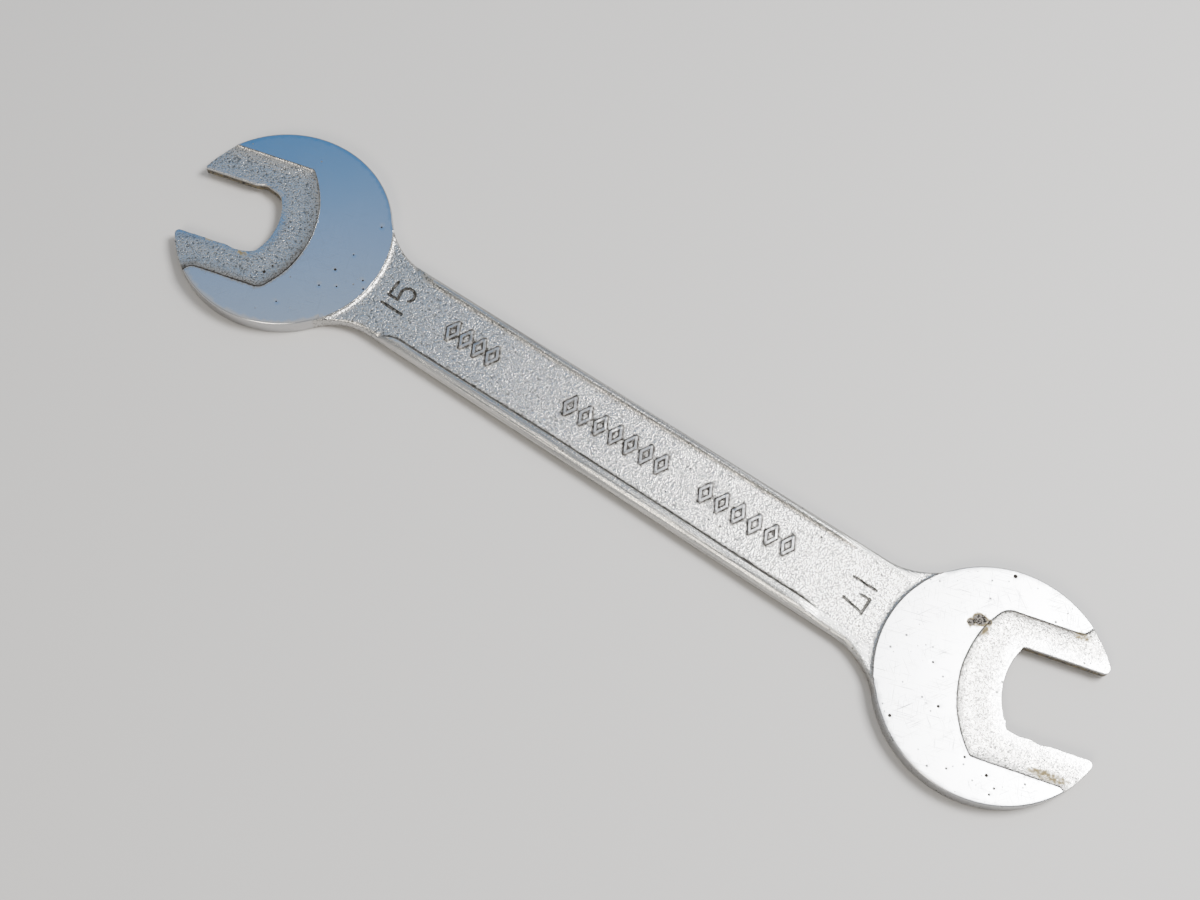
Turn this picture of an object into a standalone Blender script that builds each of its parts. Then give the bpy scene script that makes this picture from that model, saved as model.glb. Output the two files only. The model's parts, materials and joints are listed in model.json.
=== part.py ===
"""Double open-ended cone wrench with 15 mm and 17 mm jaws: one flat drop forging.

Metres, +Z up. +X runs along the handle to the 17 mm head, and the wrench lies on z = 0 with the
origin under the middle of its box. Both heads are ground discs. A sunk band round each jaw thins
the metal there, so that the jaw fits the narrow flats of a hub cone. Each head's own frame has
u pointing out of its jaw and v across it. Where a head has two values for its two sides, the first
is for -v, or for -y on the handle.
"""

import math

import bmesh
import bpy
from mathutils import Matrix

MM = 0.001

HEAD_SPACING = 166.6 * MM
BOX_SHIFT = 0.4 * MM  # how far the middle of the box lies from midway between the heads
JAW_TURN = math.radians(15)
HEAD_THICKNESS = 3.8 * MM
JAW_THICKNESS = 2.4 * MM
HEAD_EDGE_ROUND = 0.3 * MM

HANDLE_THICKNESS = 3.7 * MM
PANEL_THICKNESS = 2.6 * MM
HANDLE_EDGE_ROUND = 1.4 * MM
NECK_OVERLAP = 0.4 * MM  # how far the neck's curves run inside the head's circle
HANDLE_END_DEPTH = 10 * MM  # how far the handle runs into each head
PANEL_HALF_WIDTH = 6.9 * MM
RIM_TAPER = 4 * MM
RIMS_BEGIN = -48.5 * MM  # the rims keep their full width between these two, from midway between heads
RIMS_END = 46.0 * MM
CUTTER_REACH = 12 * MM  # how far a cutter stands past the metal it cuts

ARC_STEP = math.radians(6)
SMALL_ARC_STEP = math.radians(18)

HEAD_15 = {
    "turn": math.pi + JAW_TURN,
    "x": -HEAD_SPACING / 2 - BOX_SHIFT,
    "jaw": 15.0 * MM,
    "jaw_offset": 0.0,
    "radius": 22.0 * MM,
    "jaw_floor": 1.65 * MM,
    "floor_radius": 12.6 * MM,
    "floor_offset": 0.0,
    "tip_rounds": (0.4 * MM, 1.2 * MM),
    "band_half_width": 14.6 * MM,
    "band_back": -6.1 * MM,
    "band_rounds": (1.0 * MM, 3.0 * MM),
    "handle_half_widths": (8.9 * MM, 8.75 * MM),
    "neck_round": 14.0 * MM,
}
HEAD_17 = {
    "turn": JAW_TURN,
    "x": HEAD_SPACING / 2 - BOX_SHIFT,
    "jaw": 17.0 * MM,
    "jaw_offset": 0.5 * MM,  # the slot was cut a little to one side of the head's middle
    "radius": 23.0 * MM,
    "jaw_floor": 1.6 * MM,
    "floor_radius": 15.0 * MM,
    "floor_offset": 1.2 * MM,
    "tip_rounds": (1.2 * MM, 1.2 * MM),
    "band_half_width": 15.0 * MM,
    "band_back": -6.9 * MM,
    "band_rounds": (1.0 * MM, 3.5 * MM),
    "handle_half_widths": (9.0 * MM, 9.9 * MM),
    "neck_round": 16.0 * MM,
}


def clear_scene():
    for thing in list(bpy.data.objects):
        bpy.data.objects.remove(thing, do_unlink=True)


def arc(centre, radius, start, end, step=ARC_STEP):
    """Points along an arc, both ends included."""
    count = max(1, math.ceil(abs(end - start) / step))
    angles = [start + (end - start) * i / count for i in range(count + 1)]
    return [(centre[0] + radius * math.cos(a), centre[1] + radius * math.sin(a)) for a in angles]


def mirrored(points):
    """The same points across the u axis, in the other order."""
    return [(u, -v) for u, v in reversed(points)]


def jaw_flats(head):
    """How far the two flats lie from the head's middle, at -v and at +v."""
    half = head["jaw"] / 2
    return half - head["jaw_offset"], half + head["jaw_offset"]


def jaw_tip(head, side):
    """From the jaw's flat, round its tip, to the head's circle, for a tip at +v."""
    round_radius = head["tip_rounds"][side]
    centre_v = jaw_flats(head)[side] + round_radius
    centre_u = math.sqrt((head["radius"] - round_radius) ** 2 - centre_v**2)
    on_circle = math.atan2(centre_v, centre_u)
    return arc((centre_u, centre_v), round_radius, -math.pi / 2, on_circle, SMALL_ARC_STEP)


def head_outline(head):
    """The C-shaped outline of a head: back of the circle, two tips, two flats and the jaw's floor."""
    lower_tip = mirrored(jaw_tip(head, 0))
    upper_tip = jaw_tip(head, 1)
    first = math.atan2(upper_tip[-1][1], upper_tip[-1][0])
    last = 2 * math.pi + math.atan2(lower_tip[0][1], lower_tip[0][0])
    back = arc((0, 0), head["radius"], first, last)
    return upper_tip[:-1] + back + lower_tip[1:] + jaw_floor(head)


def jaw_floor(head):
    """The curved floor of the jaw, from the flat at -v to the flat at +v."""
    radius = head["floor_radius"]
    offset = head["floor_offset"]
    lower, upper = jaw_flats(head)
    start = math.pi + math.asin((lower + offset) / radius)
    end = math.pi - math.asin((upper - offset) / radius)
    return arc((head["jaw_floor"] + radius, offset), radius, start, end)


def band_corner(head, round_radius):
    """From the band's back curve, round the corner at +v, to its straight side."""
    centre_v = head["band_half_width"] - round_radius
    span = head["radius"] - round_radius
    from_back = math.sqrt(span**2 - centre_v**2)
    centre_u = head["band_back"] + head["radius"] - from_back
    on_back = math.atan2(centre_v, -from_back)
    return arc((centre_u, centre_v), round_radius, on_back, math.pi / 2, SMALL_ARC_STEP)


def band_outline(head):
    """The sunk band round a jaw: two straight sides and a curved back, running out past the tips."""
    upper = band_corner(head, head["band_rounds"][1])
    lower = mirrored(band_corner(head, head["band_rounds"][0]))
    back_centre = (head["band_back"] + head["radius"], 0)
    start = math.atan2(upper[0][1], upper[0][0] - back_centre[0])
    end = 2 * math.pi + math.atan2(lower[-1][1], lower[-1][0] - back_centre[0])
    back = arc(back_centre, head["radius"], start, end)
    past_tips = head["radius"] + CUTTER_REACH
    half = head["band_half_width"]
    return [(past_tips, -half), (past_tips, half)] + upper[::-1] + back[1:-1] + lower[::-1]


def neck_curve(head, side):
    """From the handle's straight edge, round the neck, to the head, for an edge at +y."""
    towards_middle = -math.copysign(1, head["x"])
    radius = head["neck_round"]
    centre_y = head["handle_half_widths"][side] + radius
    reach = head["radius"] - NECK_OVERLAP + radius
    from_head = math.sqrt(reach**2 - centre_y**2)
    curve = arc((from_head, centre_y), radius, -math.pi / 2, -math.pi + math.asin(centre_y / reach))
    return [(head["x"] + towards_middle * x, y) for x, y in curve]


def handle_side(side):
    """One edge of the handle from inside one head to inside the other, for an edge at +y."""
    ends = []
    for head in (HEAD_15, HEAD_17):
        curve = neck_curve(head, side)
        towards_middle = -math.copysign(1, head["x"])
        inner_x = head["x"] + towards_middle * HANDLE_END_DEPTH
        ends.append(curve + [(inner_x, curve[-1][1])])
    return ends[0][::-1] + ends[1]


def handle_outline():
    """The handle's whole outline, wider at the 17 mm end."""
    return handle_side(1) + [(x, -y) for x, y in reversed(handle_side(0))]


def panel_outline():
    """The sunk panel: narrow between the rims, and past the full width at both necks."""
    outside = HEAD_17["radius"]
    past_edge = max(HEAD_17["handle_half_widths"]) + NECK_OVERLAP
    rims_begin = RIMS_BEGIN - BOX_SHIFT
    rims_end = RIMS_END - BOX_SHIFT
    upper = [
        (HEAD_15["x"], outside),
        (rims_begin - RIM_TAPER, outside),
        (rims_begin - RIM_TAPER, past_edge),
        (rims_begin, PANEL_HALF_WIDTH),
        (rims_end, PANEL_HALF_WIDTH),
        (rims_end + RIM_TAPER, past_edge),
        (rims_end + RIM_TAPER, outside),
        (HEAD_17["x"], outside),
    ]
    return upper + [(x, -y) for x, y in reversed(upper)]


def prism(name, outline, low, high):
    """A closed solid with this outline between two heights."""
    shape = bmesh.new()
    face = shape.faces.new([shape.verts.new((x, y, low)) for x, y in outline])
    grown = bmesh.ops.extrude_face_region(shape, geom=[face])
    risen = [v for v in grown["geom"] if isinstance(v, bmesh.types.BMVert)]
    bmesh.ops.translate(shape, verts=risen, vec=(0, 0, high - low))
    bmesh.ops.recalc_face_normals(shape, faces=shape.faces)
    mesh = bpy.data.meshes.new(name)
    shape.to_mesh(mesh)
    shape.free()
    thing = bpy.data.objects.new(name, mesh)
    bpy.context.collection.objects.link(thing)
    return thing


def as_helper(thing):
    thing.hide_render = True
    thing.display_type = "WIRE"
    return thing


def round_edges(thing, width, segments):
    rounding = thing.modifiers.new("edge_round", "BEVEL")
    rounding.width = width
    rounding.segments = segments
    rounding.limit_method = "ANGLE"
    rounding.angle_limit = math.radians(60)


def combine(body, other, operation):
    boolean = body.modifiers.new(other.name, "BOOLEAN")
    boolean.object = other
    boolean.operation = operation
    boolean.solver = "EXACT"


def make_material():
    """Satin nickel-chrome plate."""
    material = bpy.data.materials.new("satin_chrome")
    material.use_nodes = True
    shader = material.node_tree.nodes["Principled BSDF"]
    shader.inputs["Base Color"].default_value = (0.57, 0.59, 0.60, 1)
    shader.inputs["Metallic"].default_value = 1.0
    shader.inputs["Roughness"].default_value = 0.38
    return material


def make_handle(mid_height):
    """The handle bar with rounded long edges, standing on its centre height."""
    half = HANDLE_THICKNESS / 2
    body = prism("wrench_body", handle_outline(), mid_height - half, mid_height + half)
    round_edges(body, HANDLE_EDGE_ROUND, 4)
    return body


def sink_panels(body, mid_height):
    """Cuts the panel between the rims into both faces of the handle."""
    inner = PANEL_THICKNESS / 2
    outer = HANDLE_THICKNESS / 2 + CUTTER_REACH
    outline = panel_outline()
    top = prism("panel_top", outline, mid_height + inner, mid_height + outer)
    bottom = prism("panel_bottom", outline, mid_height - outer, mid_height - inner)
    for cutter in (top, bottom):
        combine(body, as_helper(cutter), "DIFFERENCE")


def add_head(body, name, head, mid_height):
    """Joins one head to the body and sinks its jaw band into both faces."""
    place = Matrix.Translation((head["x"], 0, mid_height)) @ Matrix.Rotation(head["turn"], 4, "Z")
    half = HEAD_THICKNESS / 2
    disc = prism(f"head_{name}", head_outline(head), -half, half)
    round_edges(disc, HEAD_EDGE_ROUND, 2)
    disc.matrix_world = place
    combine(body, as_helper(disc), "UNION")
    inner = JAW_THICKNESS / 2
    outer = half + CUTTER_REACH
    outline = band_outline(head)
    top = prism(f"band_{name}_top", outline, inner, outer)
    bottom = prism(f"band_{name}_bottom", outline, -outer, -inner)
    for cutter in (top, bottom):
        cutter.matrix_world = place
        combine(body, as_helper(cutter), "DIFFERENCE")


def shade(body):
    body.data.shade_smooth()
    body.data.set_sharp_from_angle(angle=math.radians(30))


def main():
    clear_scene()
    mid_height = HEAD_THICKNESS / 2
    body = make_handle(mid_height)
    body.data.materials.append(make_material())
    sink_panels(body, mid_height)
    add_head(body, "15", HEAD_15, mid_height)
    add_head(body, "17", HEAD_17, mid_height)
    shade(body)


main()
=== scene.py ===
"""Looks for the double open-ended cone wrench: ground heads, sandblasted handle, stamped numerals.

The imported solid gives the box, the jaws and the head centres. One fine mesh replaces it. Its two
skins are heights above the wrench's middle plane, and a wall round the outline joins them. Plan
measures are in millimetres and become metres when the mesh is made. A head's own frame has u out
of its jaw and v across it. Where something has two values, the first is for the side at -v, or
for the handle's side at -y.
"""

import json
import math
from types import SimpleNamespace

import bpy
import numpy as np
from mathutils import Matrix, Vector, noise
from mathutils.geometry import delaunay_2d_cdt
from mathutils.kdtree import KDTree


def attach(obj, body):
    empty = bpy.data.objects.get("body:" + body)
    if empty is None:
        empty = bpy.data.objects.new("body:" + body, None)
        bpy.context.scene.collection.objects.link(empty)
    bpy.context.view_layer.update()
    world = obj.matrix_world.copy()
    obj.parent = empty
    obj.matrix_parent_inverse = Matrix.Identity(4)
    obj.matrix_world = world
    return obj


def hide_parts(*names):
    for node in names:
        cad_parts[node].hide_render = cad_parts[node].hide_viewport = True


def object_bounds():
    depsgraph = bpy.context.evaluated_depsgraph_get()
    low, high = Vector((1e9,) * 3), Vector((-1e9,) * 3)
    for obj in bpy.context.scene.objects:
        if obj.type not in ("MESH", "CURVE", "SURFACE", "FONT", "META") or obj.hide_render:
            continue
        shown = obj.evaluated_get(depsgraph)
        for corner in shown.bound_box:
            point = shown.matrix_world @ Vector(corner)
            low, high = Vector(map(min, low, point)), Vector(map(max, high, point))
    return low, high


MM = 0.001
SIDES = ((0, -1), (1, 1))  # each of the handle's two sides, with the sign of its y
MEASURED_AT_ONCE = 1000  # points measured together, to spare memory

# Half thicknesses, from the middle plane.
JAW_HALF = 1.2
PANEL_HALF = 1.3
RIM_HALF = 1.85
EDGE_LAND = 0.35  # half of the upright land that the handle's rounded edges leave

# Reach of the roundings and fillets, in plan.
HEAD_EDGE = 0.3
JAW_EDGE = 0.16
NECK_FILLET = 0.85
NECK_EASE = 6.0  # the handle's rounded edge comes in over this distance from a head
BAND_STEP = 0.45  # share of the band's depth that its crisp edge drops at once
BAND_FILLET = 0.45
BAND_DISH = 3.2  # the rest of the depth is a shallow dish this wide
DISH_POWER = 0.7  # below 1, so that most of the fall is near the edge

# How uneven some lines and faces are: how far off true, and the length of one wave.
BAND_WANDER = 0.06
BAND_WAVE = 3.0
RAGGED_WAVE = 1.6
RAGGED_FADE = 0.125  # share of a ragged run's length over which it begins and ends
HANDLE_SWELL = 0.025
HANDLE_WAVE = 7.0

# The rims on the handle.
RIM_STATIONS = (-45, -12, 40)  # x where the rims have these widths
RIM_WIDTHS = ((2.4, 2.85, 2.95), (2.05, 2.05, 2.05))
RIM_SLOPES = (0.75, 0.6)
RIMS_BEGIN = -49.3
HOOK_LENGTHS = (4.0, 7.0)
HOOK_RISE = 1.5
HOOK_END = 3  # in hook lengths
RIMS_FADE_FROM = 43.5
RIMS_FADE_TO = 49.0

JAW_POINT = 12.0  # how far out of the jaw the record's jaw mounts lie, from the head's centre

HEAD_SHAPES = {
    "15": SimpleNamespace(
        radius=22.0,
        jaw_offset=0.0,
        floor=1.65,
        floor_radius=12.6,
        floor_offset=0.0,
        corners=(
            ((9.4, -7.5), (8.2, -7.75), (7.3, -8.1), (5.9, -7.6), (4.2, -7.1), (3.6, -6.5)),
            ((3.5, 6.6), (4.3, 7.15), (5.5, 7.5), (7.3, 7.8), (8.4, 7.65), (9.6, 7.4), (11, 7.5)),
        ),
        ragged=(0.05, 0.1),
        tip_rounds=(0.35, 0.9),
        band_half=14.55,
        band_back=-6.1,
        band_rounds=(0.9, 2.8),
        mouth_ends=(17.5, 13.9),
        handle_halves=(8.9, 8.75),
        neck_round=14.0,
        # how dark the band's edge is at -v and at +v: dirt and painted shade
        edge_dirt_and_shade=(0.05, 0.75),
        smooth_reach=2.2,
    ),
    "17": SimpleNamespace(
        radius=23.0,
        jaw_offset=0.5,
        floor=1.6,
        floor_radius=15.0,
        floor_offset=1.2,
        corners=(
            (
                (12.6, -8), (11, -8.3), (9.8, -8.2), (8.9, -7.8),
                (7.2, -8.1), (5, -7.8), (4, -7.5), (3.7, -6),
            ),
            ((3.4, 8.3), (3.5, 8.9), (4.3, 9.0)),
        ),
        ragged=(0.08, 0.02),
        tip_rounds=(1.0, 1.2),
        band_half=15.0,
        band_back=-6.9,
        band_rounds=(0.9, 3.5),
        mouth_ends=(16.3, 14.0),
        handle_halves=(9.0, 9.9),
        neck_round=16.0,
        # how dark the band's edge is at -v and at +v: dirt and painted shade
        edge_dirt_and_shade=(0.4, 0.3),
        smooth_reach=4.5,
    ),
}
MOUTH_TURN = math.radians(52)
MOUTH_ROUND = 1.6
MOUTH_RUN = 4.0  # how far the band's edge runs on after its mouth's corner
PAST_HEAD = 6.0  # how far a band's closed outline stands out past the head

# How closely the mesh's points lie.
OUTLINE_STEP = 0.4
JAW_STEP = 0.3
TIP_STEP = 0.12
CORNER_STEP = 0.25
RIM_STEP = 0.5
MARK_STEP = 0.5
BOWL_STEP = 0.2
PIT_STEP = 0.6  # as a share of the pit's radius
FILL_STEP = 0.8
FINE_STEP = 0.4
FINE_REACH = 0.8  # the fine points lie within this distance of a numeral or lozenge
FINE_RUST = 0.1  # and wherever the face is rustier than this
FILL_CLEARANCE = 0.45  # from other points, as a share of the step
RING_CLEARANCE = 0.1
MERGE_DISTANCE = 1e-5
EDGE_RINGS = 7
WALL_SHARES = (1, 0.5, 0.2, 0, -0.2, -0.5, -1)
PARTING_RIDGE = 0.07  # how far the trimmed flash stands out along the handle's sides
RIDGE_START = 3.0  # the flash begins over this distance from a head
RIDGE_HALF = 0.4  # as a share of the half thickness
SHARP_ANGLE = math.radians(40)

# Lines that the triangles follow, as shares of the slope that they lie on.
BAND_LINES = (-0.2, 0, 0.03, 0.12, 0.3, 0.6, 1, 2.2)
NECK_LINES = (-0.12, 0, 0.02, 0.08, 0.2, 0.4, 0.7, 1)
RIM_LINES = (0, 0.25, 0.5, 0.75, 1)
MARK_LINES = (0, 0.5, 1)
PIT_LINES = (0.33, 0.66, 1)
HOOK_LINES_END = 1.2  # in hook lengths

# The stamped numerals. The base of each is the foot of its 1, and figures are this far apart.
FIFTEEN_BASE = (-52.9, -2.0)
SEVENTEEN_BASE = (50.3, 3.0)
FIGURE_PITCH = 2.2
ONE_HEIGHTS = (4.8, 4.9)
FIVE_HEIGHT = 4.7
FIVE_WIDTH = 3.3
FIVE_STEM_FOOT = 2.55
FIVE_BOWL = 1.45  # radius
FIVE_BOWL_MIDDLE = 2.0
FIVE_BOWL_TURN = (math.radians(95), math.radians(-140))
SEVEN_HEIGHT = 4.8
SEVEN_WIDTH = 3.5
SEVEN_HOOK = 1.8
NUMERAL_HALF = 0.2
NUMERAL_SLOPE = 0.14
NUMERAL_DEPTH = 0.34

# The raised lozenges, in groups: x where a group begins and ends, and how many stand in it.
LOZENGE_HALF = 0.2
LOZENGE_SLOPE = 0.2
LOZENGE_RISE = 0.26
LOZENGE_SIZE = (1.1, 2.1)
LOZENGE_Y = 0.95
LOZENGE_GROUPS = ((-43.9, -31.2, 4), (-15.8, 9.2, 7), (15.8, 38.4, 6))

# Small pits on the upper face: x, y and radius.
PITS = (
    (-69.4, -1.8, 0.34),
    (-67.6, 11.4, 0.23),
    (-68.4, 3.0, 0.2),
    (-66.9, -4.7, 0.21),
    (-63.4, -0.6, 0.24),
    (-62.2, -2.1, 0.26),
    (-74.6, -14.3, 0.21),
    (-69.9, -6.5, 0.23),
    (-80.9, -10.2, 0.4),
    (-80.4, -8.2, 0.25),
    (76.0, 20.7, 0.5),
    (69.4, -16.7, 0.4),
    (84.8, -15.5, 0.32),
    (89.8, -16.2, 0.4),
    (83.0, -19.3, 0.28),
    (92.1, -17.5, 0.3),
    (91.9, -19.0, 0.3),
    (76.1, -10.0, 0.38),
    (71.1, -3.2, 0.28),
    (-50.0, 1.1, 0.18),
    (41.0, 6.2, 0.3),
    (11.1, -3.3, 0.2),
    (21.1, -3.3, 0.2),
)
PIT_DEPTH = 0.1  # as a share of its radius
UNDERSIDE_PITS = 60  # tried: those near the outline are left out
UNDERSIDE_REACH = (100, 18)
UNDERSIDE_RADII = (0.15, 0.3)
UNDERSIDE_CLEARANCE = 2.5

# Rust and brown stain: x, y, half length, half width, turn in degrees and strength.
RUST = (
    (74.5, 9.2, 1.6, 1.3, 20, 1.0),
    (73.3, 7.8, 0.9, 0.8, 0, 1.0),
    (76.3, 9.8, 0.6, 0.5, 0, 1.0),
    (76.4, 8.0, 1.2, 0.5, 80, 0.6),
    (-87.3, -9.4, 1.5, 0.35, 12, 0.6),
    (-94.5, -10.9, 1.0, 0.3, 12, 0.45),
    (99.5, -9.6, 4.4, 1.1, 15, 0.42),
    (92.5, 17.6, 2.2, 0.9, 15, 0.35),
)
RUST_CORE = 0.45  # in half lengths and widths
RUST_EDGE = 0.9
RUST_PITTING = 0.07
RUST_PITTING_WAVE = 0.5

# Where dirt and painted shade gather: the distance from a line at which there is most, and how far it
# spreads.
# dark line along the band's crisp edge: dirt and painted shade
BAND_EDGE_DIRT_AND_SHADE = (0.15, 0.5)
# darkening across the band's dish: painted shade
BAND_DISH_SHADE = (0.4, 2.2)
# darkening at the foot of the fillet round each head: painted shade
NECK_SHADE = (NECK_FILLET, 0.5)
# dark line along each rim's foot: painted shade, strong at -y and faint at +y
RIM_FOOT_SHADE = (0.15, 0.42)
# dark ring round each lozenge's foot: painted shadow
LOZENGE_FOOT_SHADOW = (LOZENGE_HALF + LOZENGE_SLOPE + 0.05, 0.5)

# How strong the dirt and painted shade are. Where it changes along x, there are two places and the
# strength at each.
DISH_SHADE_STRENGTHS = (0.15, 0.55)  # painted shade in the dish, where the band's edge is lightly darkened and where it is heavily darkened
NECK_SHADE_STRENGTH = 0.3
# painted shade at each rim's foot, the side at -y first
RIM_SHADE_STRENGTHS = (0.7, 0.1)
# darkening in the numerals' grooves: dirt and painted shade
NUMERAL_DIRT_AND_SHADE = ((-50, 50), (0.58, 0.53))
LOZENGE_SHADOW_STRENGTHS = ((-40, 40), (0.62, 0.57))
PIT_FILL = 5  # how fast a pit's dirt rises from its rim to its middle
# darkening on the jaw's walls near the mouth: dirt and painted shade, with rust
GRIME_AND_SHADE_REACH = 0.2
GRIME_DIRT_AND_SHADE = 0.5
GRIME_RUST = 0.28

# Where the finish changes.
ON_HEAD = 0.02  # a point this far outside the circle still counts as on the head
ACROSS_JAW = (-6, 6)  # v between which the band edge's dirt and painted shade goes from one value to the other
GROUND_BORDER = 0.08
HANDLE_BORDER = 2.0
WALL_START = 0.1  # a wall begins this far below the skin's height
WALL_BORDER = 0.3
WALL_BLASTING = 0.6  # share of the sandblasting that shows on a wall
WALL_WEAR = 0.7  # and of the wear
JAW_WEAR = 0.8
JAW_WEAR_CHANGE = 0.5  # how far it varies
JAW_WEAR_WAVE = 2.5
RIM_WEAR = 0.75
RIM_CREST = 0.5  # distance from the rim's foot
DRAWN_CREST = 0.3  # likewise, for the streaks
CREST_BORDER = 0.4

# Textures. Lengths are in millimetres. A span is where a noise begins and ends its rise.
FINE_GRAIN = 0.3
COARSE_GRAIN = 0.65
COARSE_SHARE = 0.35
BROKEN_GRAIN = 0.6
BROKEN_DETAIL = 4.0
PATCH_SIZE = 7.0
STREAK_STRETCH = (30, 0.35, 0.35)
SCRATCH_STRETCH = (6, 0.13, 1)
SCRATCHES = ((18, 0.61), (112, 0.63), (57, 0.63), (-38, 0.64))  # turn in degrees, threshold
SCRATCH_SOFTNESS = 0.1
SCRATCHED_PATCHES = (0.35, 0.55)
DOT_PITCH = 1.4
DOT_RADIUS = 0.28
DOTS_KEPT = 0.75  # share of the dots, where the wrench is most used
DOT_DIRT = 0.7
USED_ALONG = (-0.06, 0.07)  # x in metres, from few marks of use to many
LEAST_USED = 0.15
WORN_BLASTING = 0.3  # what is left of the sandblasting where it is worn
DRAWN_SHARE = 0.6
MARK_HEIGHT = -0.03  # scratches and dots, as a share of the sandblasted grain's height
GRAIN_HEIGHT = 0.16
SAND_SPAN = (0.36, 0.53)
STREAK_SPAN = (0.4, 0.56)
DIRT_AND_SHADE_BREAKING = 0.55
DIRT_AND_SHADE_SPAN = (-0.2, 0.45)
RUST_BREAKING = 1.1
RUST_SPAN = (0.65, 1.1)
STAIN_SPAN = (0.0, 0.2)
EATEN_SPAN = (0.45, 0.8)
EATEN_GRAIN_SPAN = (0.4, 0.6)

# Colours and roughness. Where there are two, they are for the low and the high places of a noise.
GROUND_COLOURS = ((0.51, 0.515, 0.525, 1), (0.545, 0.545, 0.55, 1))
SCRATCH_COLOUR = (0.2, 0.2, 0.2, 1)
SAND_COLOURS = ((0.17, 0.167, 0.16, 1), (0.58, 0.565, 0.54, 1))
STREAK_COLOURS = ((0.36, 0.355, 0.34, 1), (0.68, 0.665, 0.63, 1))
# dark colour for dirt and for painted shade
DIRT_AND_SHADE_COLOUR = (0.055, 0.05, 0.045, 1)
STAIN_COLOUR = (0.28, 0.235, 0.145, 1)
EATEN_COLOURS = ((0.045, 0.043, 0.04, 1), (0.26, 0.24, 0.22, 1))
GROUND_ROUGHNESS = (0.2, 0.3)  # least used and most used
SCRATCH_ROUGHNESS = 0.4
SAND_ROUGHNESS = (0.33, 0.22)
SAND_ROUGHNESS_SPAN = (0.35, 0.65)
SPOILED_ROUGHNESS = 0.75

# The stage, in metres and degrees, with the lens in millimetres.
CAMERA_AZIMUTH = 25.14
CAMERA_ELEVATION = 67.91
CAMERA_ROLL = 9.28
CAMERA_AIM = (-0.00394, -0.0036)  # on the plane of the heads' upper faces
CAMERA_DISTANCE = 0.3263
CAMERA_LENS = 50.25
SENSOR_WIDTH = 36
# Lamps: name, place, the point it shines at, size, power in watts and colour.
LAMPS = (
    ("key", (0.26, 0.26, 0.6), (0.06, 0, 0), 0.28, 6.9, (1, 1, 1)),
    ("warm_side", (0.05, -0.52, 0.55), (0, 0, 0), 0.25, 2.2, (1, 0.92, 0.8)),
    ("far_side", (0.12, 0.62, 0.5), (0.03, 0, 0), 0.2, 0.3, (1, 1, 1)),
    ("overhead", (-0.25, 0.1, 0.62), (-0.08, 0, 0), 0.3, 0.08, (1, 0.94, 0.86)),
)
FLOOR_REACH = 12.0
FLOOR_COLOURS = ((0.45, 0.44, 0.43, 1), (0.85, 0.85, 0.84, 1))  # under the lamps, and far off
FLOOR_PALES = (0.3, 1.2)  # distances between which it goes from one to the other
FLOOR_ROUGHNESS = 0.6
DOME_COLOUR = (0.44, 0.455, 0.47, 1)
PATCH_COLOUR = (0.08, 0.345, 0.76, 1)
PATCH_TOWARDS = (-0.52, 0.57, 0.636)  # unit direction of the dome's cool patch
PATCH_EDGE = (0.872, 0.948)  # cosine of the angle from its middle
PATCH_FOOT = (0.62, 0.8)  # height of the direction, as the sine of its elevation


# ---- Plan geometry ----


def polar(angle):
    return np.array([math.cos(angle), math.sin(angle)])


def arc(centre, radius, start, end, step=OUTLINE_STEP):
    """Points along an arc, both ends included."""
    count = max(2, math.ceil(abs(end - start) * radius / step))
    angles = np.linspace(start, end, count + 1)
    return np.array(centre) + radius * np.stack([np.cos(angles), np.sin(angles)], 1)


def line(start, end, step=OUTLINE_STEP):
    count = max(1, math.ceil(math.dist(start, end) / step))
    t = np.linspace(0, 1, count + 1)[:, None]
    return np.array(start) * (1 - t) + np.array(end) * t


def join(*runs):
    """Joins runs of points, leaving out each point that repeats the last one."""
    points = np.concatenate(runs)
    apart = np.linalg.norm(np.diff(points, axis=0), axis=1) > 1e-4
    return points[np.concatenate([[True], apart])]


def soften(points, step, rounds=3):
    """The same run with its corners cut off again and again, evenly spaced, ends kept."""
    points = np.array(points, float)
    for _ in range(rounds):
        near = points[:-1] * 0.75 + points[1:] * 0.25
        far = points[:-1] * 0.25 + points[1:] * 0.75
        inner = np.stack([near, far], 1).reshape(-1, 2)[1:-1]
        points = np.concatenate([points[:1], inner, points[-1:]])
    along = np.concatenate([[0], np.cumsum(np.linalg.norm(np.diff(points, axis=0), axis=1))])
    at = np.linspace(0, along[-1], math.ceil(along[-1] / step) + 1)
    return np.stack([np.interp(at, along, points[:, i]) for i in (0, 1)], 1)


def sideways(points, closed=False):
    """Unit vectors to the left of a run."""
    if closed:
        along = np.roll(points, -1, axis=0) - np.roll(points, 1, axis=0)
    else:
        along = np.gradient(points, axis=0)
    along /= np.linalg.norm(along, axis=1)[:, None]
    return along[:, ::-1] * (-1, 1)


def round_corner(before, corner, after, radius):
    """The arc of this radius that replaces the corner between two straight runs."""
    first = np.array(before) - corner
    second = np.array(after) - corner
    first = first / np.linalg.norm(first)
    second = second / np.linalg.norm(second)
    half = math.acos(np.clip(first @ second, -1, 1)) / 2
    middle = (first + second) / np.linalg.norm(first + second)
    centre = corner + middle * radius / math.sin(half)
    start = corner + first * radius / math.tan(half) - centre
    end = corner + second * radius / math.tan(half) - centre
    from_angle = math.atan2(start[1], start[0])
    turn = math.atan2(start[0] * end[1] - start[1] * end[0], start @ end)
    return arc(centre, radius, from_angle, from_angle + turn, CORNER_STEP)


def flipped(points):
    """The same points across the x axis, in the other order."""
    return points[::-1] * (1, -1)


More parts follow.
